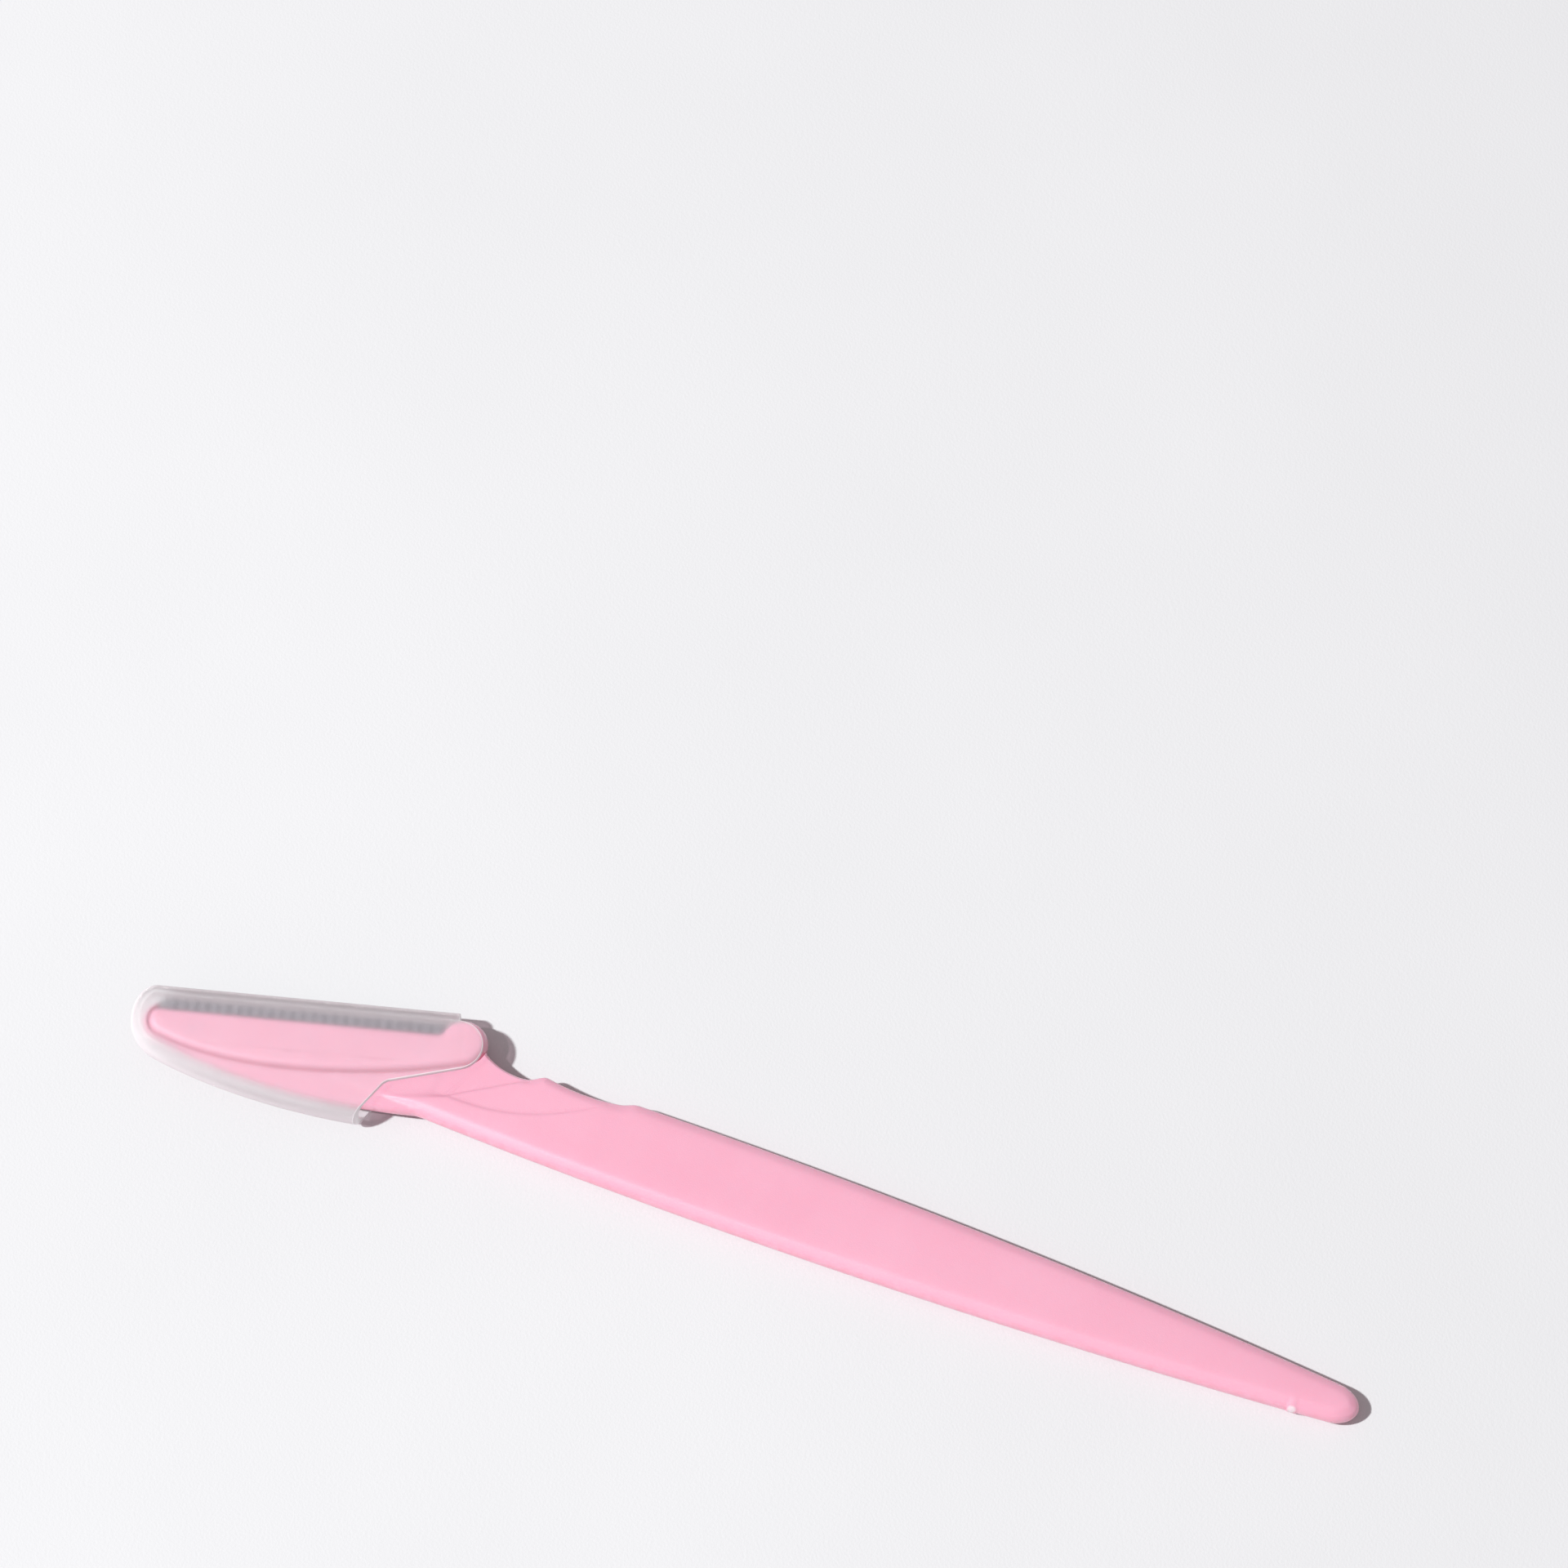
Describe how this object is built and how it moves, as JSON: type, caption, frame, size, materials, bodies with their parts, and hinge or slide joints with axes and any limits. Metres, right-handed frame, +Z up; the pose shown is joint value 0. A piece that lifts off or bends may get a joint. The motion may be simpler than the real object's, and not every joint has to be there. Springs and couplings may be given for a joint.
{
  "type": "eyebrow_razor",
  "caption": "Disposable eyebrow razor: flat pink plastic grip with finger rests, an angled head with a comb-guarded steel blade, and a translucent pull-off cap.",
  "frame": {"origin": "below the centre of the bounding box, on the plane that the cap's underside lies on", "axes": "+X from the head to the tail of the grip, +Y to the blade's side, +Z up, at a right angle to the flat of the razor"},
  "size_m": [0.153, 0.0196, 0.0049],
  "materials": {
    "pink_plastic": "moulded, satin",
    "steel": "ground",
    "guard_metal": "dark, semi-gloss",
    "frosted_plastic": "translucent"
  },
  "bodies": {
    "razor": {"handle": "pink_plastic", "blade_clamp": "pink_plastic", "blade": "steel", "guard": "guard_metal"},
    "cap": {"cap": "frosted_plastic"}
  },
  "joints": [
    {"name": "cap_slide", "type": "slide", "parent": "razor", "child": "cap", "axis": [-0.9548, -0.2974, 0], "range_m": [0, 0.05]}
  ]
}
